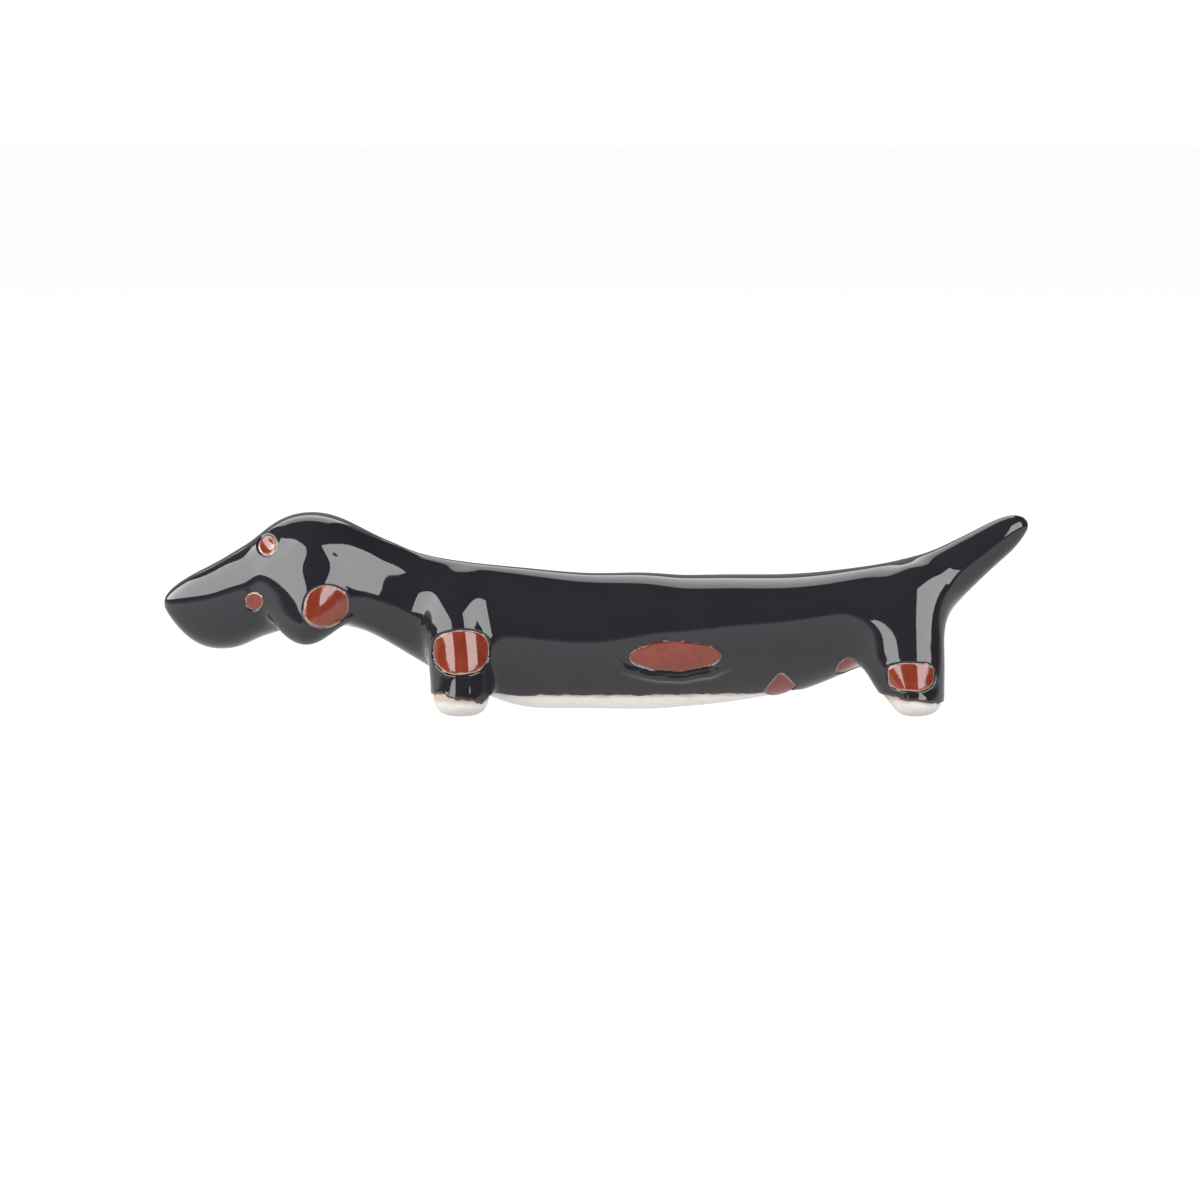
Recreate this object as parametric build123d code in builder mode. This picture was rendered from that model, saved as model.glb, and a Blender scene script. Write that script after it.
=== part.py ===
from build123d import *
import os
from math import copysign, cos, pi, sin

# Ceramic dachshund figurine, a low dog whose dipped back carries a pair of chopsticks.
# Millimetres. The origin is on the resting plane, at the middle of the outline.
# The nose points along -X, the tail along +X, the dog's left side is at -Y and +Z is up.

# ---- layers -------------------------------------------------------------------------
GLAZE = 0.30            # thickness of the black glaze over the clay
SLIP = 0.12             # thickness of the red slip under each window
RING = 0.20             # width of bare clay left between a dab and the glaze around it
GLAZE_LINE = 1.80       # the glaze stops this far above the table
GLAZED = 0.0            # inset of the glazed surface, which is what the tables below give
CLAY = GLAZE            # inset of the clay surface
SLIPPED = GLAZE - SLIP  # inset of the slip's surface

# ---- where the clay pieces are luted together ---------------------------------------
NECK_X = -26.0
TAIL_ROOT_X = 39.0

OUTLINE_POINTS = 12     # points in each cross-section's closed curve
REACH = 30.0            # how far a window cutter runs out past the figure
HALF_LENGTH = 50.0

# Body from nose to tail tip: X, back, belly, level of the widest point, half width, and how
# square the half above that level is.
BODY = (
    (-50.0, 12.8, 11.5, 12.0, 0.8, 0.10),
    (-49.5, 13.5, 10.6, 11.6, 1.5, 0.20),
    (-48.7, 14.2, 9.5, 11.3, 2.2, 0.35),
    (-47.5, 15.0, 8.2, 11.0, 2.9, 0.45),
    (-45.8, 15.9, 7.1, 10.8, 3.5, 0.50),
    (-43.5, 17.1, 6.7, 10.9, 4.0, 0.50),
    (-41.0, 18.6, 7.2, 11.7, 4.4, 0.45),
    (-38.3, 20.6, 8.4, 13.0, 4.9, 0.36),
    (-35.8, 22.1, 9.1, 14.0, 5.5, 0.30),
    (-33.2, 22.6, 9.5, 13.9, 6.0, 0.28),
    (-30.5, 22.2, 9.6, 13.2, 6.0, 0.28),
    (-27.5, 20.9, 9.2, 12.0, 5.4, 0.20),
    (-24.3, 19.4, 7.7, 11.0, 4.6, 0.10),
    (-21.0, 18.0, 5.7, 10.1, 4.3, 0.0),
    (-17.5, 17.2, 3.6, 9.3, 4.8, 0.0),
    (-14.0, 16.7, 1.7, 8.4, 5.3, 0.0),
    (-10.0, 16.3, 0.1, 8.0, 5.7, 0.0),
    (-5.0, 15.8, -0.6, 7.8, 6.3, 0.0),
    (1.5, 15.5, -0.65, 8.1, 6.9, 0.0),
    (8.0, 15.4, -0.55, 9.8, 7.0, 0.0),
    (14.5, 15.3, 0.15, 10.8, 6.9, 0.0),
    (20.0, 15.3, 1.0, 11.4, 6.7, 0.0),
    (25.0, 15.5, 2.3, 11.9, 6.3, 0.0),
    (29.5, 16.0, 4.2, 12.4, 5.7, 0.0),
    (33.5, 16.6, 6.1, 12.8, 5.2, 0.0),
    (37.0, 17.4, 7.9, 13.3, 4.6, 0.0),
    (39.6, 18.3, 9.5, 14.0, 3.9, 0.0),
    (41.7, 19.3, 11.8, 15.4, 3.3, 0.0),
    (43.9, 20.4, 14.1, 17.1, 2.8, 0.0),
    (46.2, 21.6, 16.3, 18.9, 2.4, 0.0),
    (48.1, 22.3, 18.0, 20.3, 1.9, 0.0),
    (49.3, 22.3, 19.4, 20.9, 1.3, 0.0),
    (50.0, 21.7, 20.5, 21.1, 0.8, 0.0),
)

# Limbs of the left side: Z, middle X, middle Y, reach forward, back, outward and inward.
EAR = (
    (8.1, -33.0, -6.4, 0.9, 0.9, 0.9, 0.6),
    (8.5, -33.0, -6.2, 1.9, 1.9, 1.7, 1.1),
    (9.4, -32.9, -5.9, 3.1, 3.1, 2.7, 1.5),
    (10.8, -32.6, -5.4, 4.4, 4.3, 3.3, 1.8),
    (13.0, -32.3, -4.8, 5.4, 4.6, 3.5, 2.0),
    (15.8, -32.2, -4.2, 6.0, 4.6, 3.0, 2.0),
    (18.2, -32.2, -3.4, 4.9, 3.8, 2.5, 1.6),
    (19.8, -32.2, -2.6, 3.0, 2.6, 1.9, 1.2),
)
FRONT_LEG = (
    (0.0, -15.4, -5.5, 2.0, 2.0, 1.9, 1.9),
    (0.4, -15.4, -5.7, 2.8, 2.8, 2.8, 2.8),
    (1.2, -15.4, -5.8, 3.3, 3.3, 3.3, 3.2),
    (3.0, -15.4, -5.6, 3.5, 3.5, 3.4, 3.3),
    (5.5, -15.4, -5.1, 3.7, 3.4, 3.45, 3.2),
    (8.0, -15.5, -4.4, 3.9, 3.3, 3.6, 2.9),
    (10.2, -15.7, -3.8, 4.1, 3.2, 3.6, 2.5),
    (12.2, -15.9, -3.1, 3.8, 3.0, 3.4, 2.2),
    (14.0, -15.9, -2.4, 2.8, 2.4, 2.7, 1.6),
    (15.4, -15.8, -1.7, 1.4, 1.4, 1.6, 1.0),
)
HIND_LEG = (
    (0.0, 36.4, -5.6, 1.6, 2.2, 1.9, 1.9),
    (0.4, 36.4, -5.8, 2.2, 2.9, 2.8, 2.8),
    (1.2, 36.3, -5.9, 2.8, 3.5, 3.35, 3.2),
    (2.6, 36.2, -5.7, 3.8, 3.75, 3.45, 3.3),
    (4.8, 36.1, -5.25, 5.0, 3.9, 3.4, 3.2),
    (7.5, 36.0, -4.6, 5.7, 4.0, 3.4, 3.1),
    (10.0, 36.0, -4.1, 5.6, 3.9, 3.25, 2.9),
    (12.4, 36.2, -3.5, 4.8, 3.5, 2.9, 2.6),
    (14.4, 36.5, -2.9, 3.4, 2.9, 2.2, 2.0),
    (15.6, 36.8, -2.3, 2.0, 2.0, 1.4, 1.4),
)

# What is luted to the body: its stations, whether its lower edge rises with its inset, and how
# square the outward half of its section is. A negative value draws that half out to a ridge.
LIMBS = {
    "ear": (EAR, 1, -0.4),
    "front_leg": (FRONT_LEG, 0, 0.0),
    "hind_leg": (HIND_LEG, 0, -0.15),
}

# Side windows, left side: limb they lie on, X, Z, half length, half height, depth they start at.
SIDE_WINDOWS = {
    "eye": (None, -37.6, 19.3, 0.85, 0.85, -1.0),
    "mouth": (None, -39.1, 12.9, 0.75, 0.75, -2.0),
    "ear": ("ear", -30.6, 12.7, 2.3, 2.05, -5.5),
    "front_leg": ("front_leg", -15.3, 7.5, 3.1, 2.2, -5.0),
    "flank": (None, 9.1, 6.8, 5.0, 1.55, -4.0),
    "hind_leg": ("hind_leg", 35.9, 4.8, 2.5, 1.3, -5.4),
}

# Windows under the belly, left side: X, Y, half length, half width, height they end at.
UNDER_WINDOWS = {
    "belly": (21.2, -3.0, 1.5, 1.6, 6.0),
    "groin": (29.4, -2.9, 1.3, 1.5, 7.9),
}


def outline(ahead, behind, right, left, middle_x, middle_y, squareness_ahead, squareness_behind):
    """Points of a closed curve about a middle point, with its own reach on each of its four sides.

    With no squareness the curve is made of quarter ellipses.
    """
    points = []
    for step in range(OUTLINE_POINTS):
        turn = 2 * pi * step / OUTLINE_POINTS - pi / 2
        power = 1 - (squareness_ahead if sin(turn) > 0 else squareness_behind)
        across = copysign(abs(cos(turn)) ** power, cos(turn))
        along = copysign(abs(sin(turn)) ** power, sin(turn))
        across *= right if across > 0 else left
        along *= ahead if along > 0 else behind
        points.append((middle_x + across, middle_y + along))
    return points


def body_form(inset):
    """Nose, skull, neck, trunk and tail as one flowing form, cut flat at the table."""
    with BuildPart() as form:
        for station, back, belly, level, half_width, squareness in BODY:
            half = half_width - inset
            with BuildSketch(Plane.YZ.offset(station * (HALF_LENGTH - inset) / HALF_LENGTH)):
                with BuildLine():
                    Spline(
                        *outline(
                            back - inset - level, level - belly - inset,
                            half, half, 0, level, squareness, 0,
                        ),
                        periodic=True,
                    )
                make_face()
        loft()
        split(bisect_by=Plane.XY, keep=Keep.TOP)
    return form.part


def upright_form(stations, inset, lift, squareness):
    """Ear or leg of the left side, lofted upwards."""
    with BuildPart() as form:
        for height, middle_x, middle_y, forward, back, outward, inward in stations:
            reaches = [reach - inset for reach in (inward, outward, back, forward)]
            with BuildSketch(Plane.XY.offset(height + lift)):
                with BuildLine():
                    Spline(
                        *outline(*reaches, middle_x, middle_y, 0, squareness),
                        periodic=True,
                    )
                make_face()
        loft()
    return form.part


def side_cutter(x, z, half_length, half_height, depth, ring):
    """Oval bar that runs out sideways from the given depth."""
    with BuildPart() as cutter:
        with BuildSketch(Plane.XZ.offset(-depth)):
            with Locations((x, z)):
                Ellipse(half_length + ring, half_height + ring)
        extrude(amount=REACH)
    return cutter.part


def under_cutter(x, y, half_length, half_width, top, ring):
    """Oval bar that runs up from below the table to the given height."""
    with BuildPart() as cutter:
        with BuildSketch(Plane.XY.offset(top)):
            with Locations((x, y)):
                Ellipse(half_length + ring, half_width + ring)
        extrude(amount=-REACH)
    return cutter.part


def mirrored(form):
    """The same form on the other side of the mid-plane."""
    with BuildPart() as twin:
        add(form)
        mirror(about=Plane.XZ, mode=Mode.REPLACE)
    return twin.part


def both_sides(form):
    """A left-side form and its right-side twin."""
    return {"left": form, "right": mirrored(form)}


def sided_name(side, name):
    """left + ear gives left_ear, and left + front_leg gives front_left_leg."""
    end, leg, rest = name.partition("_leg")
    return f"{end}_{side}{leg}{rest}" if leg else f"{side}_{name}"


def finish_piece(piece, name):
    """Label a piece and write it."""
    piece.label = name
    export_step(piece, f"parts/{name}.step")


os.makedirs("parts", exist_ok=True)

clay_body = body_form(CLAY)
slipped_body = body_form(SLIPPED)
clay_limbs = {}
slipped_limbs = {}
glazed_limbs = {}
for limb, (stations, rises, squareness) in LIMBS.items():
    clay_form = upright_form(stations, CLAY, rises * CLAY, squareness)
    slipped_form = upright_form(stations, SLIPPED, rises * SLIPPED, squareness)
    glazed_form = upright_form(stations, GLAZED, rises * GLAZED, squareness)
    clay_limbs[limb] = both_sides(clay_form)
    slipped_limbs[limb] = both_sides(slipped_form)
    glazed_limbs[limb] = both_sides(glazed_form)

# ---- clay pieces ---------------------------------------------------------------------

with BuildPart() as trunk:
    add(clay_body)
    split(bisect_by=Plane.YZ.offset(NECK_X), keep=Keep.TOP)
    split(bisect_by=Plane.YZ.offset(TAIL_ROOT_X), keep=Keep.BOTTOM)
finish_piece(trunk.part, "trunk")

with BuildPart() as head:
    add(clay_body)
    split(bisect_by=Plane.YZ.offset(NECK_X), keep=Keep.BOTTOM)
finish_piece(head.part, "head")

with BuildPart() as tail:
    add(clay_body)
    split(bisect_by=Plane.YZ.offset(TAIL_ROOT_X), keep=Keep.TOP)
finish_piece(tail.part, "tail")

for limb, sides in clay_limbs.items():
    for side, form in sides.items():
        with BuildPart() as luted_limb:
            add(form)
            add(clay_body, mode=Mode.SUBTRACT)
        finish_piece(luted_limb.part, sided_name(side, limb))

# ---- red slip dabs, and the windows that they lie in ---------------------------------

windows = []

for name, (limb, x, z, half_length, half_height, depth) in SIDE_WINDOWS.items():
    dab_cutters = both_sides(side_cutter(x, z, half_length, half_height, depth, 0))
    for side, cutter in dab_cutters.items():
        with BuildPart() as dab:
            add(slipped_limbs[limb][side] if limb else slipped_body)
            add(cutter, mode=Mode.INTERSECT)
            add(clay_body, mode=Mode.SUBTRACT)
            if limb:
                add(clay_limbs[limb][side], mode=Mode.SUBTRACT)
        finish_piece(dab.part, sided_name(side, f"{name}_dab"))
    windows.extend(both_sides(side_cutter(x, z, half_length, half_height, depth, RING)).values())

for name, (x, y, half_length, half_width, top) in UNDER_WINDOWS.items():
    dab_cutters = both_sides(under_cutter(x, y, half_length, half_width, top, 0))
    for side, cutter in dab_cutters.items():
        with BuildPart() as dab:
            add(slipped_body)
            add(cutter, mode=Mode.INTERSECT)
            add(clay_body, mode=Mode.SUBTRACT)
        finish_piece(dab.part, sided_name(side, f"{name}_dab"))
    windows.extend(both_sides(under_cutter(x, y, half_length, half_width, top, RING)).values())

# ---- black glaze ---------------------------------------------------------------------

with BuildPart() as glaze_coat:
    add(body_form(GLAZED))
    for sides in glazed_limbs.values():
        for form in sides.values():
            add(form, clean=False)
    split(bisect_by=Plane.XY.offset(GLAZE_LINE), keep=Keep.TOP)
    add(clay_body, clean=False, mode=Mode.SUBTRACT)
    for sides in clay_limbs.values():
        for form in sides.values():
            add(form, clean=False, mode=Mode.SUBTRACT)
    for window in windows:
        add(window, clean=False, mode=Mode.SUBTRACT)
finish_piece(glaze_coat.part, "glaze_coat")
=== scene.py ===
import math

import bpy
import numpy as np
import openvdb
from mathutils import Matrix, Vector


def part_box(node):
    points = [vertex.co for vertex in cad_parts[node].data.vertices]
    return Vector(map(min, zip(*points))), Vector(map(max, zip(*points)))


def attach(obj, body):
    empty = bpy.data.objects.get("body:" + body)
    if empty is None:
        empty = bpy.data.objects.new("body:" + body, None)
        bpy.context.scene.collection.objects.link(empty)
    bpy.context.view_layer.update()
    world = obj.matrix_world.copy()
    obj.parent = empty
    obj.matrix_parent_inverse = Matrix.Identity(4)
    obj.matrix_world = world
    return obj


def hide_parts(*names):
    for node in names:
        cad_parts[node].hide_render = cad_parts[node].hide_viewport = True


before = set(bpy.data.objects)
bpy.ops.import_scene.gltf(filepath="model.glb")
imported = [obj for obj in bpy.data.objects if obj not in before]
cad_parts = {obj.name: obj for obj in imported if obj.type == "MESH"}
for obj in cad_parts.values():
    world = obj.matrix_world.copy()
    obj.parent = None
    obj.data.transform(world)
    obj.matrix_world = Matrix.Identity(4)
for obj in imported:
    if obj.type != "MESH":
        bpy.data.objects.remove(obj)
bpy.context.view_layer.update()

# ---- sizes, in metres ----------------------------------------------------------------

MM = 0.001
GRID = 0.35 * MM            # spacing of the distance field that the glaze surface is read from
BAND = 14                   # cells that the distance field reaches to each side of the clay
PAD = 5                     # cells that the grid reaches past the CAD glaze
COAT = 0.33 * MM            # glaze surface above the clay
BURIED = 0.36 * MM          # underside of the glaze below its surface, a little inside the clay
GLAZE_LINE = 1.85 * MM      # height at which the glaze stops

RIM = 0.30 * MM             # width over which the glaze rounds down to its edge
RIM_DROP = COAT + 0.01 * MM   # how far it has rounded down at the edge
RIM_LINES = (0.2, 0.55, 1.1)  # rows of edges round each opening, in rim widths
STEEPEST = 0.03 * MM        # the rim is shaded as if it were no steeper than here
BEAD = 0.02 * MM            # extra thickness of the rolled edge
LIP_HEIGHT = 0.45 * MM      # how far the lower lip of the flank window stands up
LIP_MIDDLE = 0.95 * MM      # and how far below the window its crest is
LIP_WIDTH = 0.55 * MM

WINDOW_GAP = 0.20 * MM      # the glaze stops this far from the CAD dab's outline
SLIP_DEPTH = 0.10 * MM      # slip surface below the glaze surface
RING_DEPTH = 0.15 * MM      # ring surface below the glaze surface
RING_STEP = 0.14 * MM       # width of the step between the two
RING_FADE = 0.12 * MM       # how much of its ring the flank dab covers along its upper edge
FADE_FROM = -0.6            # and the height where that starts, in half heights of the window
TUCKED = 0.30 * MM          # how far a dab runs in under the glaze
TUCK_DROP = 0.12 * MM       # and how far it sinks there
SLIP_BODY = 0.22 * MM       # underside of a dab below its ring
EYE_BOWL = 0.30 * MM        # how deep the middle of the eye looks pressed in

SOFTEN = (0.9 * MM, 0.5 * MM, 0.5 * MM)   # smoothing of the field along X, Y and Z
SHRINK = 0.14 * MM                        # the most that smoothing may sink the surface
CREASE = math.radians(70)                 # edges sharper than this are not shaded smooth

SIDES = {"left": -1, "right": 1}

# How far the clay is smoothed over where each limb is luted on.
LUTING = {"ear": 1.8 * MM, "front_leg": 1.5 * MM, "hind_leg": 3.2 * MM}


def sided(side, name):
    """left + ear gives left_ear, and left + front_leg gives front_left_leg."""
    end, leg, rest = name.partition("_leg")
    return f"{end}_{side}{leg}{rest}" if leg else f"{side}_{name}"


# ---- distance field of the clay --------------------------------------------------------

coat_box = np.array([list(corner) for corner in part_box("glaze_coat")])
first_cell = np.floor(coat_box[0] / GRID).astype(int) - PAD
first_cell[2] = -PAD
cells = np.ceil(coat_box[1] / GRID).astype(int) + PAD - first_cell + 1
transform = openvdb.createLinearTransform(voxelSize=GRID)


def node_distance(name):
    """Distance of every grid point from a clay piece, negative inside it."""
    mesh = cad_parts[name].data
    mesh.calc_loop_triangles()
    points = np.zeros(len(mesh.vertices) * 3, np.float32)
    mesh.vertices.foreach_get("co", points)
    corners = np.zeros(len(mesh.loop_triangles) * 3, np.int32)
    mesh.loop_triangles.foreach_get("vertices", corners)
    grid = openvdb.FloatGrid.createLevelSetFromPolygons(
        points.reshape(-1, 3), triangles=corners.reshape(-1, 3),
        transform=transform, halfWidth=BAND,
    )
    values = np.zeros(tuple(cells), np.float32)
    grid.copyToArray(values, ijk=tuple(int(c) for c in first_cell))
    return values


def smooth_union(a, b, width):
    """Union of two distance fields with the crease between them filled over that width."""
    near = np.maximum(width - np.abs(a - b), 0) / width
    return np.minimum(a, b) - near * near * width / 4


def blurred(values, sigmas):
    """Gaussian smoothing along each axis in turn."""
    for axis, sigma in enumerate(sigmas):
        reach = int(math.ceil(3 * sigma / GRID))
        taps = np.exp(-0.5 * (np.arange(-reach, reach + 1) * GRID / sigma) ** 2)
        taps /= taps.sum()
        widths = [(reach, reach) if a == axis else (0, 0) for a in range(3)]
        padded = np.pad(values, widths, mode="edge")
        total = np.zeros_like(values)
        for step, tap in enumerate(taps):
            part = [slice(None)] * 3
            part[axis] = slice(step, step + values.shape[axis])
            total += tap * padded[tuple(part)]
        values = total
    return values


field = np.minimum(np.minimum(node_distance("trunk"), node_distance("head")), node_distance("tail"))
for limb, width in LUTING.items():
    for side in SIDES:
        field = smooth_union(field, node_distance(sided(side, limb)), width)
field = smooth_union(blurred(field, SOFTEN), field + SHRINK, 2 * SHRINK)
slopes = np.stack(np.gradient(field, GRID), axis=-1)


def sample(values, points):
    """Trilinear reading of a grid array at points."""
    place = points / GRID - first_cell
    base = np.clip(np.floor(place).astype(int), 0, np.array(cells) - 2)
    part = place - base
    total = 0
    for corner in np.ndindex(2, 2, 2):
        weight = np.ones(len(points))
        for axis in range(3):
            weight = weight * (part[:, axis] if corner[axis] else 1 - part[:, axis])
        index = base + np.array(corner)
        read = values[index[:, 0], index[:, 1], index[:, 2]]
        total = total + (weight[:, None] * read if read.ndim == 2 else weight * read)
    return total


def settle(points, level):
    """Moves points onto a level of the field, and gives the outward direction there."""
    for _ in range(3):
        slope = sample(slopes, points)
        steep = np.linalg.norm(slope, axis=1, keepdims=True)
        points = points - slope / steep ** 2 * (sample(field, points) - level)[:, None]
    slope = sample(slopes, points)
    return points, slope / np.linalg.norm(slope, axis=1, keepdims=True)


def glaze_surface():
    """Triangle mesh of the whole glazed surface, before the windows and the glaze line are cut."""
    grid = openvdb.FloatGrid(background=BAND * GRID)
    grid.transform = transform
    grid.copyFromArray(field, ijk=tuple(int(c) for c in first_cell))
    points, quads = grid.convertToQuads(isovalue=COAT)
    points = np.asarray(points, float)
    quads = np.asarray(quads, int)
    points, _ = settle(points, COAT)
    first = np.linalg.norm(points[quads[:, 0]] - points[quads[:, 2]], axis=1)
    second = np.linalg.norm(points[quads[:, 1]] - points[quads[:, 3]], axis=1)
    split = np.where((first <= second)[:, None, None],
                     quads[:, [[0, 1, 2], [0, 2, 3]]], quads[:, [[0, 1, 3], [1, 2, 3]]])
    triangles = split.reshape(-1, 3)
    a, b, c = (points[triangles[:, i]] for i in range(3))
    middle = (a + b + c) / 3
    outward = np.einsum("ij,ij->i", np.cross(b - a, c - a), sample(slopes, middle))
    if outward.sum() < 0:
        triangles = triangles[:, ::-1]
    return points, triangles

# ---- mesh tools ------------------------------------------------------------------------

PROBE = 0.04 * MM   # step over which slopes on the surface are measured
SNAP = 0.28         # a corner nearer than this share of an edge to a cut is moved onto it


def edges_of(triangles):
    """Each edge once, as sorted pairs, and how many triangles use it."""
    pairs = np.concatenate([triangles[:, [0, 1]], triangles[:, [1, 2]], triangles[:, [2, 0]]])
    return np.unique(np.sort(pairs, axis=1), axis=0, return_counts=True)


def turned(triangles, first):
    """Triangles with their corners turned so that the given corner comes first."""
    rows = np.arange(len(triangles))[:, None]
    return triangles[rows, (first[:, None] + np.arange(3)) % 3]


def insert_contour(points, triangles, measure, level):
    """Adds the line where measure equals level as edges, and each triangle's side of it."""
    points = points.copy()
    values = measure(points) - level
    a, b = edges_of(triangles)[0].T
    crossing = values[a] * values[b] < 0
    a, b = a[crossing], b[crossing]
    share = values[a] / (values[a] - values[b])
    cuts = points[a] + share[:, None] * (points[b] - points[a])
    ends = np.concatenate([a, b])
    shares = np.concatenate([share, 1 - share])
    targets = np.concatenate([cuts, cuts])
    close = np.flatnonzero(shares < SNAP)
    close = close[np.argsort(-shares[close])]
    points[ends[close]] = targets[close]
    values[ends[close]] = 0
    moved = np.unique(ends[close])
    crossing = values[a] * values[b] < 0
    a, b = a[crossing], b[crossing]
    share = values[a] / (values[a] - values[b])
    fresh = points[a] + share[:, None] * (points[b] - points[a])
    keys = a * len(points) + b
    order = np.argsort(keys)
    keys, fresh = keys[order], fresh[order]
    count = len(points)

    def cut_index(p, q):
        key = np.minimum(p, q) * count + np.maximum(p, q)
        return count + np.searchsorted(keys, key)

    signs = np.sign(values[triangles])
    mixed = (signs.max(1) > 0) & (signs.min(1) < 0)
    touching = mixed & (signs == 0).any(1)
    crossed = mixed & ~touching
    kept, kept_side = triangles[~mixed], signs[~mixed].sum(1)
    one = turned(triangles[touching], (signs[touching] == 0).argmax(1))
    middle = cut_index(one[:, 1], one[:, 2])
    one_side = np.sign(values[one[:, 1]])
    lone = (signs[crossed] == -signs[crossed].sum(1, keepdims=True)).argmax(1)
    two = turned(triangles[crossed], lone)
    near, far = cut_index(two[:, 0], two[:, 1]), cut_index(two[:, 0], two[:, 2])
    two_side = np.sign(values[two[:, 0]])
    pieces = [
        (kept, kept_side),
        (np.stack([one[:, 0], one[:, 1], middle], 1), one_side),
        (np.stack([one[:, 0], middle, one[:, 2]], 1), -one_side),
        (np.stack([two[:, 0], near, far], 1), two_side),
        (np.stack([near, two[:, 1], two[:, 2]], 1), -two_side),
        (np.stack([near, two[:, 2], far], 1), -two_side),
    ]
    fresh, _ = settle(fresh, COAT)
    points[moved] = settle(points[moved], COAT)[0]
    points = np.concatenate([points, fresh])
    return points, np.concatenate([t for t, _ in pieces]), np.concatenate([s for _, s in pieces])


def trimmed(points, triangles):
    """The same triangles with only the points that they use."""
    used, index = np.unique(triangles, return_inverse=True)
    return points[used], index.reshape(-1, 3)


def divided(points, triangles):
    """Each triangle split in four, with the new corners on the surface."""
    edges, _ = edges_of(triangles)
    fresh, _ = settle((points[edges[:, 0]] + points[edges[:, 1]]) / 2, COAT)
    keys = edges[:, 0] * len(points) + edges[:, 1]

    def middle(i, j):
        p, q = triangles[:, i], triangles[:, j]
        key = np.minimum(p, q) * len(points) + np.maximum(p, q)
        return len(points) + np.searchsorted(keys, key)

    ab, bc, ca = middle(0, 1), middle(1, 2), middle(2, 0)
    a, b, c = triangles.T
    parts = [(a, ab, ca), (ab, b, bc), (ca, bc, c), (ab, bc, ca)]
    return np.concatenate([points, fresh]), np.concatenate([np.stack(part, 1) for part in parts])


def closed_shell(outer, inner, triangles):
    """Outer and inner surfaces joined along their common edge."""
    edges, uses = edges_of(triangles)
    border = np.unique(edges[uses == 1])
    twin = np.arange(len(outer)) + len(outer)
    twin[border] = border
    points = np.concatenate([outer, inner])
    return points, np.concatenate([triangles, twin[triangles[:, ::-1]]])


def make_piece(name, points, triangles, outward, attributes, material, replaced):
    """Blender object that stands for a CAD node and rides with the body.

    Its outer surface comes first among the points and is shaded with the outward directions given.
    """
    used, index = np.unique(triangles, return_inverse=True)
    mesh = bpy.data.meshes.new(name)
    mesh.from_pydata(points[used].tolist(), [], index.reshape(-1, 3).tolist())
    mesh.validate()
    for label, values in attributes.items():
        layer = mesh.attributes.new(label, "FLOAT", "POINT")
        layer.data.foreach_set("value", values[used].astype(np.float32))
    mesh.shade_smooth()
    mesh.set_sharp_from_angle(angle=CREASE)
    corners = np.zeros(len(mesh.loops), int)
    mesh.loops.foreach_get("vertex_index", corners)
    shading = np.zeros(len(mesh.loops) * 3, np.float32)
    mesh.corner_normals.foreach_get("vector", shading)
    shading = shading.reshape(-1, 3, 3)
    faces = used[corners].reshape(-1, 3)
    front = (faces < len(outward)).all(axis=1)
    shading[front] = outward[faces[front]]
    mesh.normals_split_custom_set(shading.reshape(-1, 3).tolist())
    mesh.materials.append(material)
    piece = bpy.data.objects.new(name, mesh)
    bpy.context.scene.collection.objects.link(piece)
    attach(piece, "root")
    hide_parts(replaced)


# ---- where the glaze is open -----------------------------------------------------------

FAR = 10 * MM
TINY = 1e-9
LEAST_SLANT = 0.25          # the flattest that a surface is taken to be, seen along the measure
WAVES = 7
WAVE_SPREAD = (0.7, 1.5)    # shortest and longest wave of a ripple, in wavelengths
RAGGED_WAVE = 3.2 * MM      # wavelength of the ragged outlines
SIDE_SLACK = 0.3 * MM       # a side window reaches this far inwards of its CAD dab
SIDE_WINDOWS = ("eye", "mouth", "ear", "front_leg", "flank", "hind_leg")
UNDER_WINDOWS = ("belly", "groin")

# For each window: how ragged its outline is, how square, and how much bare clay the slip leaves.
WINDOW_EDGES = {
    "eye": (0.02 * MM, 2.0, 0.09 * MM),
    "mouth": (0.05 * MM, 2.0, 0.02 * MM),
    "ear": (0.07 * MM, 2.2, 0.05 * MM),
    "front_leg": (0.05 * MM, 2.5, 0.06 * MM),
    "flank": (0.05 * MM, 1.8, 0.03 * MM),
    "hind_leg": (0.06 * MM, 3.0, 0.04 * MM),
    "belly": (0.06 * MM, 1.4, 0.03 * MM),
    "groin": (0.06 * MM, 1.6, 0.03 * MM),
}


def ripple(points, wavelength, seed):
    """Smooth seeded noise, about -1 to 1, from a few plane waves in random directions."""
    random = np.random.default_rng(seed)
    total = np.zeros(len(points))
    for _ in range(WAVES):
        direction = random.normal(size=3)
        length = wavelength * random.uniform(*WAVE_SPREAD)
        direction *= 2 * math.pi / (np.linalg.norm(direction) * length)
        total += np.sin(points @ direction + random.uniform(0, 2 * math.pi))
    return total / math.sqrt(WAVES)


def along_surface(distance, direction, normals, axes):
    """A distance measured in a plane, stretched to what it is along the slanting surface."""
    facing = np.einsum("ij,ij->i", direction, normals[:, axes])
    return distance / np.sqrt(np.maximum(1 - facing ** 2, LEAST_SLANT ** 2))


def window_seed(name, side):
    """A seed of its own for each window."""
    return 10 * (SIDE_WINDOWS + UNDER_WINDOWS).index(name) + (side == "right")


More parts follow.
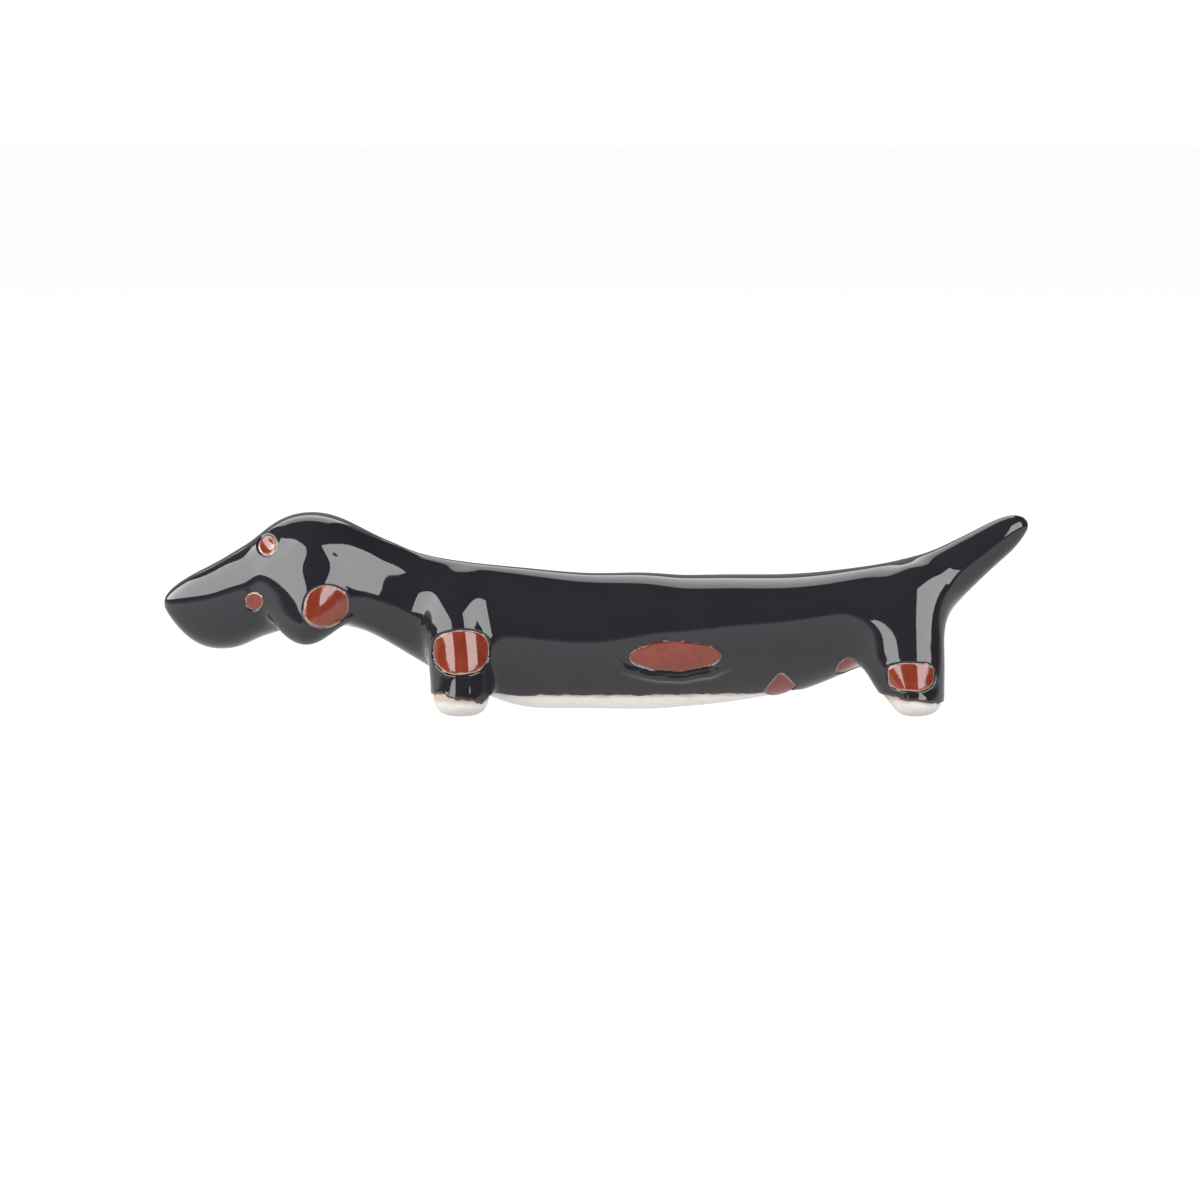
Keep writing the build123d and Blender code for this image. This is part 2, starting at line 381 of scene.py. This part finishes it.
def window_distance(points, normals, name, side):
    """Distance along the surface from the edge of a window, negative inside it."""
    low, high = (np.array(corner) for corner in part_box(sided(side, name + "_dab")))
    axes = [0, 1] if name in UNDER_WINDOWS else [0, 2]
    centre, half = (low + high)[axes] / 2, (high - low)[axes] / 2 + WINDOW_GAP
    ragged, power, _ = WINDOW_EDGES[name]
    offset = (points[:, axes] - centre) / half
    ratio = np.sum(np.abs(offset) ** power, axis=1) ** (1 / power) + TINY
    slope = np.sign(offset) * np.abs(offset) ** (power - 1) / half
    steep = np.linalg.norm(slope, axis=1) + TINY
    distance = (ratio - 1) * ratio ** (power - 1) / steep
    distance = along_surface(distance, slope / steep[:, None], normals, axes)
    distance = np.clip(distance, -FAR, FAR)
    distance += ragged * ripple(points, RAGGED_WAVE, window_seed(name, side))
    outward = points[:, 1] * SIDES[side]
    if name in UNDER_WINDOWS:
        limit = np.maximum(points[:, 2] - high[2] - MM, -outward)
    else:
        limit = np.min(np.abs([low[1], high[1]])) - SIDE_SLACK - outward
    return np.maximum(distance, limit)


# How the glaze line rises and falls along the figure: X and height above GLAZE_LINE, in mm.
LINE_COURSE = (
    (-19.0, 0.5), (-17.6, 0.8), (-16.4, 0.35), (-14.0, 0.05), (-12.9, -0.5), (-12.1, 0.3),
    (-9.4, -0.25), (-6.0, 0.05), (20.0, 0.0), (32.9, 0.5), (36.0, 0.1), (39.5, -0.4),
)

# How uneven it is besides: size, wavelength and seed of each ripple.
LINE_RIPPLES = ((0.07 * MM, 3 * MM, 71), (0.04 * MM, 1.1 * MM, 72))


def line_distance(points, normals):
    """Distance along the surface above the line where the glaze stops."""
    line = GLAZE_LINE + MM * np.interp(points[:, 0] / MM, *np.array(LINE_COURSE).T)
    for size, wavelength, seed in LINE_RIPPLES:
        line += size * ripple(points, wavelength, seed)
    slant = np.sqrt(np.maximum(1 - normals[:, 2] ** 2, LEAST_SLANT ** 2))
    return (points[:, 2] - line) / slant


def normals_at(points):
    """Outward directions of the smooth surface."""
    slope = sample(slopes, points)
    return slope / np.linalg.norm(slope, axis=1, keepdims=True)


def windows_distance(points):
    """Distance along the surface from the nearest window, negative inside one."""
    normals = normals_at(points)
    distance = np.full(len(points), FAR)
    for name in SIDE_WINDOWS + UNDER_WINDOWS:
        for side in SIDES:
            distance = np.minimum(distance, window_distance(points, normals, name, side))
    return distance


def cover(points):
    """Distance from the nearest edge of the glaze, positive where there is glaze."""
    return np.minimum(windows_distance(points), line_distance(points, normals_at(points)))


# ---- materials -------------------------------------------------------------------------

# Share of a noise's range that most of it lies in.
NOISE_RANGE = (0.3, 0.7)

# Colours: each layer's own, and the one that it varies towards.
BLACK = (0.0115, 0.0110, 0.0145)
BLACK_WARM = (0.0140, 0.0120, 0.0145)
BREAK_BROWN = (0.075, 0.045, 0.030)
RED = (0.125, 0.0195, 0.0095)
RED_DARK = (0.085, 0.0125, 0.0065)
RED_PALE = (0.155, 0.029, 0.0145)
CREAM = (0.27, 0.175, 0.125)
CREAM_PALE = (0.36, 0.28, 0.22)
BISCUIT = (0.66, 0.635, 0.61)
BISCUIT_GREY = (0.59, 0.565, 0.54)
# Painted shade: the feet's clay is given darker colours than the belly's, to darken the feet where
# the lamps light them brightly.
SHADED_FOOT_BISCUIT = (0.49, 0.47, 0.445)
SHADED_FOOT_GREY = (0.42, 0.40, 0.38)
BISCUIT_BROWN = (0.26, 0.17, 0.12)


def node_maker(tree):
    """Function that adds a node to a tree and sets its inputs and properties by name."""
    def node(kind, **settings):
        made = tree.nodes.new(kind)
        for key, value in settings.items():
            if key in made.inputs:
                made.inputs[key].default_value = value
            else:
                setattr(made, key, value)
        return made

    return node


def new_material(name, **settings):
    """Node material, its Principled shader with those settings, and how to add and link nodes."""
    material = bpy.data.materials.new(name)
    material.use_nodes = True
    tree = material.node_tree
    shader = tree.nodes["Principled BSDF"]
    for key, value in settings.items():
        shader.inputs[key].default_value = value
    return material, shader, node_maker(tree), tree.links.new


def spread(node, link, value, source, target):
    """Maps a value's range to another, held at both ends. An end of the target may be a link."""
    made = node("ShaderNodeMapRange", clamp=True)
    link(value, made.inputs["Value"])
    labels = ("From Min", "From Max", "To Min", "To Max")
    for label, end in zip(labels, (*source, *target)):
        if isinstance(end, float):
            made.inputs[label].default_value = end
        else:
            link(end, made.inputs[label])
    return made.outputs["Result"]


def noise(node, link, scale, detail, roughness=0.5):
    """Noise over the object's own coordinates."""
    place = node("ShaderNodeTexCoord")
    made = node("ShaderNodeTexNoise", Scale=scale, Detail=detail, Roughness=roughness)
    link(place.outputs["Object"], made.inputs["Vector"])
    return made.outputs["Fac"]


def patches(node, link, scale, detail, target=(0.0, 1.0), source=NOISE_RANGE):
    """Noise mapped to a range."""
    return spread(node, link, noise(node, link, scale, detail), source, target)


def mixed(node, link, share, first, second):
    """Colour between two colours or links."""
    made = node("ShaderNodeMix", data_type="RGBA")
    link(share, made.inputs["Factor"])
    for label, colour in (("A", first), ("B", second)):
        socket = [i for i in made.inputs if i.name == label and i.type == "RGBA"][0]
        if isinstance(colour, tuple):
            socket.default_value = (*colour, 1)
        else:
            link(colour, socket)
    return [o for o in made.outputs if o.type == "RGBA"][0]


def combined(node, link, first, second, operation):
    """Sum or larger of two links."""
    made = node("ShaderNodeMath", operation=operation)
    link(first, made.inputs[0])
    link(second, made.inputs[1])
    return made.outputs[0]


def bump(node, link, shader, height, distance, strength):
    """Fine unevenness of the surface, with that height in metres."""
    made = node("ShaderNodeBump", Strength=strength, Distance=distance)
    link(height, made.inputs["Height"])
    link(made.outputs["Normal"], shader.inputs["Normal"])


def black_glaze():
    """Deep black glaze, brown where it thins at the edge above the feet and belly."""
    material, shader, node, link = new_material("black_glaze", IOR=1.46)
    clouds = patches(node, link, scale=160, detail=4.0, source=(0.35, 0.7))
    body = mixed(node, link, clouds, BLACK, BLACK_WARM)
    foot = node("ShaderNodeAttribute", attribute_name="foot_mm").outputs["Fac"]
    jitter = patches(node, link, scale=900, detail=3.0, target=(-0.12, 0.12))
    uneven = combined(node, link, foot, jitter, "ADD")
    thin = spread(node, link, uneven, source=(0.05, 0.55), target=(1.0, 0.0))
    link(mixed(node, link, thin, body, BREAK_BROWN), shader.inputs["Base Color"])
    worn = patches(node, link, scale=420, detail=5.0, target=(0.035, 0.075), source=(0.4, 0.8))
    link(worn, shader.inputs["Roughness"])
    waves = noise(node, link, scale=260, detail=2.0)
    bump(node, link, shader, waves, distance=0.02 * MM, strength=0.35)
    return material


def red_slip():
    """Glossy iron-red slip with a bare cream ring round it."""
    material, shader, node, link = new_material("red_slip", IOR=1.52)
    mottle = patches(node, link, scale=700, detail=4.0)
    specks = patches(node, link, scale=1800, detail=2.0, target=(0.0, 0.8), source=(0.62, 0.72))
    red = mixed(node, link, specks, mixed(node, link, mottle, RED, RED_PALE), RED_DARK)
    inside = node("ShaderNodeAttribute", attribute_name="ring_mm").outputs["Fac"]
    jitter = patches(node, link, scale=1500, detail=3.0, target=(-0.05, 0.05))
    uneven = combined(node, link, inside, jitter, "ADD")
    ring = spread(node, link, uneven, source=(-0.05, 0.05), target=(0.0, 1.0))
    cream = mixed(node, link, mottle, CREAM, CREAM_PALE)
    link(mixed(node, link, ring, red, cream), shader.inputs["Base Color"])
    worn = patches(node, link, scale=500, detail=3.0, target=(0.04, 0.10))
    link(worn, shader.inputs["Roughness"])
    waves = noise(node, link, scale=900, detail=3.0)
    bump(node, link, shader, waves, distance=0.02 * MM, strength=0.4)
    return material


def biscuit_clay(name, pale, grey):
    """Bare white stoneware, matt, a little toasted near the glaze."""
    material, shader, node, link = new_material(name, IOR=1.45)
    speckle = noise(node, link, scale=1400, detail=6.0, roughness=0.65)
    grain = spread(node, link, speckle, NOISE_RANGE, target=(0.0, 1.0))
    clay = mixed(node, link, grain, pale, grey)
    place = node("ShaderNodeTexCoord")
    parts = node("ShaderNodeSeparateXYZ")
    link(place.outputs["Object"], parts.inputs["Vector"])
    jitter = patches(node, link, scale=600, detail=3.0, target=(-0.2 * MM, 0.2 * MM))
    level = combined(node, link, parts.outputs["Z"], jitter, "ADD")
    below_glaze = (GLAZE_LINE - 0.3 * MM, GLAZE_LINE + 0.2 * MM)
    toast = spread(node, link, level, below_glaze, target=(0.0, 0.6))
    link(mixed(node, link, toast, clay, BISCUIT_BROWN), shader.inputs["Base Color"])
    worn = spread(node, link, grain, source=(0.0, 1.0), target=(0.62, 0.85))
    link(worn, shader.inputs["Roughness"])
    pits = noise(node, link, scale=2600, detail=4.0, roughness=0.6)
    bump(node, link, shader, pits, distance=0.04 * MM, strength=0.6)
    return material


glaze_material = black_glaze()
slip_material = red_slip()
clay_material = biscuit_clay("biscuit_clay", BISCUIT, BISCUIT_GREY)
# Painted shade: a darker copy of the biscuit for the legs and feet.
shaded_foot_material = biscuit_clay("foot_clay_painted_shade", SHADED_FOOT_BISCUIT, SHADED_FOOT_GREY)

# ---- the object ------------------------------------------------------------------------

base_points, base_triangles = glaze_surface()


def rim_depth(distance):
    """How far the glaze has rounded down at that distance from its edge."""
    share = np.clip(distance / RIM, 0, 1)
    roll = RIM_DROP * (1 - np.sqrt(1 - (1 - share) ** 2))
    return roll - BEAD * np.exp(-((distance - RIM) / (0.6 * RIM)) ** 2) * np.clip(share * 2, 0, 1)


def lip(points, side):
    """The thick lower lip of the flank window, where the glaze has run and gathered."""
    below = np.clip(-height_in_window(points, "flank", side), 0, 1)
    distance = window_distance(points, normals_at(points), "flank", side)
    return LIP_HEIGHT * below * np.exp(-((distance - LIP_MIDDLE) / LIP_WIDTH) ** 2)


def tilted(points, normals, height):
    """Outward directions of the surface once it is raised by a height that varies over it."""
    across = np.cross(normals, (0.0, 0.0, 1.0)) + (TINY, 0, 0)
    across /= np.linalg.norm(across, axis=1, keepdims=True)
    total = normals.copy()
    for tangent in (across, np.cross(normals, across)):
        rise = height(points + PROBE * tangent) - height(points - PROBE * tangent)
        total -= tangent * (rise / (2 * PROBE))[:, None]
    return total / np.linalg.norm(total, axis=1, keepdims=True)


def coat_height(points):
    """How far the glaze stands above the smooth surface, negative where it rounds down."""
    raised = lip(points, "left") + lip(points, "right")
    return raised - rim_depth(np.maximum(cover(points), STEEPEST))


def make_coat():
    points, triangles, side = insert_contour(base_points, base_triangles, cover, 0.0)
    points, triangles = trimmed(points, triangles[side > 0])
    for level in RIM_LINES:
        points, triangles, _ = insert_contour(points, triangles, cover, level * RIM)
    normals = normals_at(points)
    distance = np.maximum(cover(points), 0)
    edges, uses = edges_of(triangles)
    distance[np.unique(edges[uses == 1])] = 0
    raised = lip(points, "left") + lip(points, "right") - rim_depth(distance)
    outer = points + normals * raised[:, None]
    inner = points - normals * BURIED
    foot = np.clip(line_distance(points, normals), 0, FAR) / MM
    shell, faces = closed_shell(outer, inner, triangles)
    attributes = {"foot_mm": np.concatenate([foot, foot])}
    outward = tilted(points, normals, coat_height)
    make_piece(
        "black_glaze_coat", shell, faces, outward, attributes,
        glaze_material, "glaze_coat",
    )


def height_in_window(points, name, side):
    """Height from the middle of a window, in half heights."""
    low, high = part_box(sided(side, name + "_dab"))
    return (points[:, 2] - (low[2] + high[2]) / 2) / ((high[2] - low[2]) / 2)


def bowl(points, name, side):
    """How deep the middle of the eye is pressed in."""
    if name != "eye":
        return np.zeros(len(points))
    low, high = (np.array(corner)[[0, 2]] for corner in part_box(sided(side, name + "_dab")))
    offset = (points[:, [0, 2]] - (low + high) / 2) / ((high - low) / 2)
    return EYE_BOWL * np.clip(1 - np.sum(offset ** 2, axis=1), 0, 1)


def fade(points, name, side):
    """How far the ring's inner line is moved outwards, where the slip runs up to the glaze."""
    if name != "flank":
        return np.zeros(len(points))
    return RING_FADE * np.clip(height_in_window(points, name, side) - FADE_FROM, 0, 1)


def make_dab(name, side):
    """Red slip in its window, with the bare ring round it and an edge that runs under the glaze."""
    def measure(points):
        return window_distance(points, normals_at(points), name, side)

    near = measure(base_points) < 4 * TUCKED
    points, triangles = trimmed(base_points, base_triangles[near[base_triangles].any(1)])
    points, triangles = divided(points, triangles)
    points, triangles, where = insert_contour(points, triangles, measure, TUCKED)
    points, triangles = trimmed(points, triangles[where < 0])
    normals = normals_at(points)
    gap = WINDOW_EDGES[name][2]

    def depth(points):
        inside = measure(points) + gap
        step = np.clip(inside / RING_STEP + 0.5, 0, 1)
        sunk = SLIP_DEPTH + (RING_DEPTH - SLIP_DEPTH) * step * step * (3 - 2 * step)
        return sunk + TUCK_DROP * np.clip((inside - gap) / TUCKED, 0, 1)

    outer = points - normals * depth(points)[:, None]
    inner = points - normals * (RING_DEPTH + SLIP_BODY)
    outward = tilted(points, normals, lambda near: -depth(near) - bowl(near, name, side))
    shell, faces = closed_shell(outer, inner, triangles)
    ring = (measure(points) + gap - fade(points, name, side)) / MM
    node = sided(side, name + "_dab")
    attributes = {"ring_mm": np.concatenate([ring, ring])}
    make_piece(f"{node}_slip", shell, faces, outward, attributes, slip_material, node)


make_coat()
for name in SIDE_WINDOWS + UNDER_WINDOWS:
    for side in SIDES:
        make_dab(name, side)

for name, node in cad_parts.items():
    if name.endswith("_dab") or name == "glaze_coat":
        continue
    node.data.materials.clear()
    # The legs take the darker painted-shade copy of the biscuit.
    bare = shaded_foot_material if name.endswith("_leg") else clay_material
    node.data.materials.append(bare)

# ---- floor, light and camera -------------------------------------------------------------

FLOOR_SIZE = 30.0
FLOOR_TINT = (0.10, 0.10, 0.10)
FLOOR_SHADE = (0.098, 0.098, 0.098)
FLOOR_GLOW = 0.95

# The room that the glaze mirrors: its own glow, a white wall behind and a pale horizon.
ROOM_GLOW = 0.035
WALL_GLOW = 0.35
WALL_SIDES = (0.1, 0.5)                  # the wall fades in over this much of the way back
WALL_TOP = (math.radians(30), math.radians(38))
HORIZON_GLOW = 0.6
HORIZON_TOP = math.radians(4)

# Soft boxes: centre, the point that each one faces, width, height and radiance.
SOFT_BOXES = {
    "left_soft_box": ((-0.415, -0.180, 0.287), (0.014, -0.045, 0.287), 1.077, 0.395, 8.0),
    "right_soft_box": ((0.350, -0.283, 0.294), (0, 0, 0.294), 0.346, 0.408, 8.0),
    "back_soft_box": ((-0.14, 0.5, 0.5), (-0.14, 0, 0.01), 0.54, 0.43, 2.4),
}

AIM = Vector((0.0005, 0.0, 0.0124))
VIEW_ELEVATION = math.radians(8)
VIEW_DISTANCE = 0.386
LENS = 100.0
SENSOR = 36.0
NEAREST, FARTHEST = 0.01, 100.0          # clipping distances


def make_floor():
    """Pale paper sweep that glows softly, so that it stays white all round the figure."""
    material, shader, node, link = new_material("pale_floor", Roughness=0.9)
    paper = patches(node, link, scale=30, detail=4.0)
    link(mixed(node, link, paper, FLOOR_TINT, FLOOR_SHADE), shader.inputs["Base Color"])
    shader.inputs["Emission Color"].default_value = (1, 1, 1, 1)
    shader.inputs["Emission Strength"].default_value = FLOOR_GLOW
    bpy.ops.mesh.primitive_plane_add(size=FLOOR_SIZE)
    floor = bpy.context.object
    floor.name = "pale_floor"
    floor.data.materials.append(material)


def panel(name, centre, towards, width, height, radiance):
    """Rectangular soft box whose surface has the given radiance."""
    light = bpy.data.lights.new(name, "AREA")
    light.shape = "RECTANGLE"
    light.size, light.size_y = width, height
    light.energy = radiance * math.pi * width * height
    lamp = bpy.data.objects.new(name, light)
    lamp.location = centre
    lamp.rotation_euler = (Vector(towards) - Vector(centre)).to_track_quat("-Z", "Y").to_euler()
    lamp.visible_camera = False
    bpy.context.scene.collection.objects.link(lamp)


def make_world():
    """White to the camera, and to reflections a dark room with a white wall low behind."""
    world = bpy.data.worlds.new("studio")
    bpy.context.scene.world = world
    world.use_nodes = True
    tree = world.node_tree
    tree.nodes.clear()
    node, link = node_maker(tree), tree.links.new
    place = node("ShaderNodeTexCoord")
    parts = node("ShaderNodeSeparateXYZ")
    link(place.outputs["Generated"], parts.inputs["Vector"])
    back, up = parts.outputs["Y"], parts.outputs["Z"]
    behind = spread(node, link, back, WALL_SIDES, (ROOM_GLOW, WALL_GLOW))
    wall_top = tuple(math.sin(angle) for angle in WALL_TOP)
    wall = spread(node, link, up, wall_top, (behind, ROOM_GLOW))
    horizon = spread(node, link, up, (0.0, math.sin(HORIZON_TOP)), (HORIZON_GLOW, 0.0))
    room = node("ShaderNodeBackground", Color=(1, 1, 1, 1))
    link(combined(node, link, wall, horizon, "MAXIMUM"), room.inputs["Strength"])
    seen = node("ShaderNodeBackground", Color=(1, 1, 1, 1), Strength=1.0)
    ray = node("ShaderNodeLightPath")
    mix = node("ShaderNodeMixShader")
    link(ray.outputs["Is Camera Ray"], mix.inputs["Fac"])
    link(room.outputs[0], mix.inputs[1])
    link(seen.outputs[0], mix.inputs[2])
    out = node("ShaderNodeOutputWorld")
    link(mix.outputs[0], out.inputs["Surface"])


def make_camera():
    """Long lens at a low angle on the left side."""
    camera = bpy.data.objects.new("camera", bpy.data.cameras.new("camera"))
    camera.data.lens = LENS
    camera.data.sensor_width = SENSOR
    camera.data.clip_start = NEAREST
    camera.data.clip_end = FARTHEST
    back = Vector((0, -math.cos(VIEW_ELEVATION), math.sin(VIEW_ELEVATION)))
    camera.location = AIM + back * VIEW_DISTANCE
    camera.rotation_euler = (-back).to_track_quat("-Z", "Y").to_euler()
    bpy.context.scene.collection.objects.link(camera)
    bpy.context.scene.camera = camera


make_floor()
make_world()
for name, settings in SOFT_BOXES.items():
    panel(name, *settings)
make_camera()
bpy.context.scene.view_settings.view_transform = "Standard"
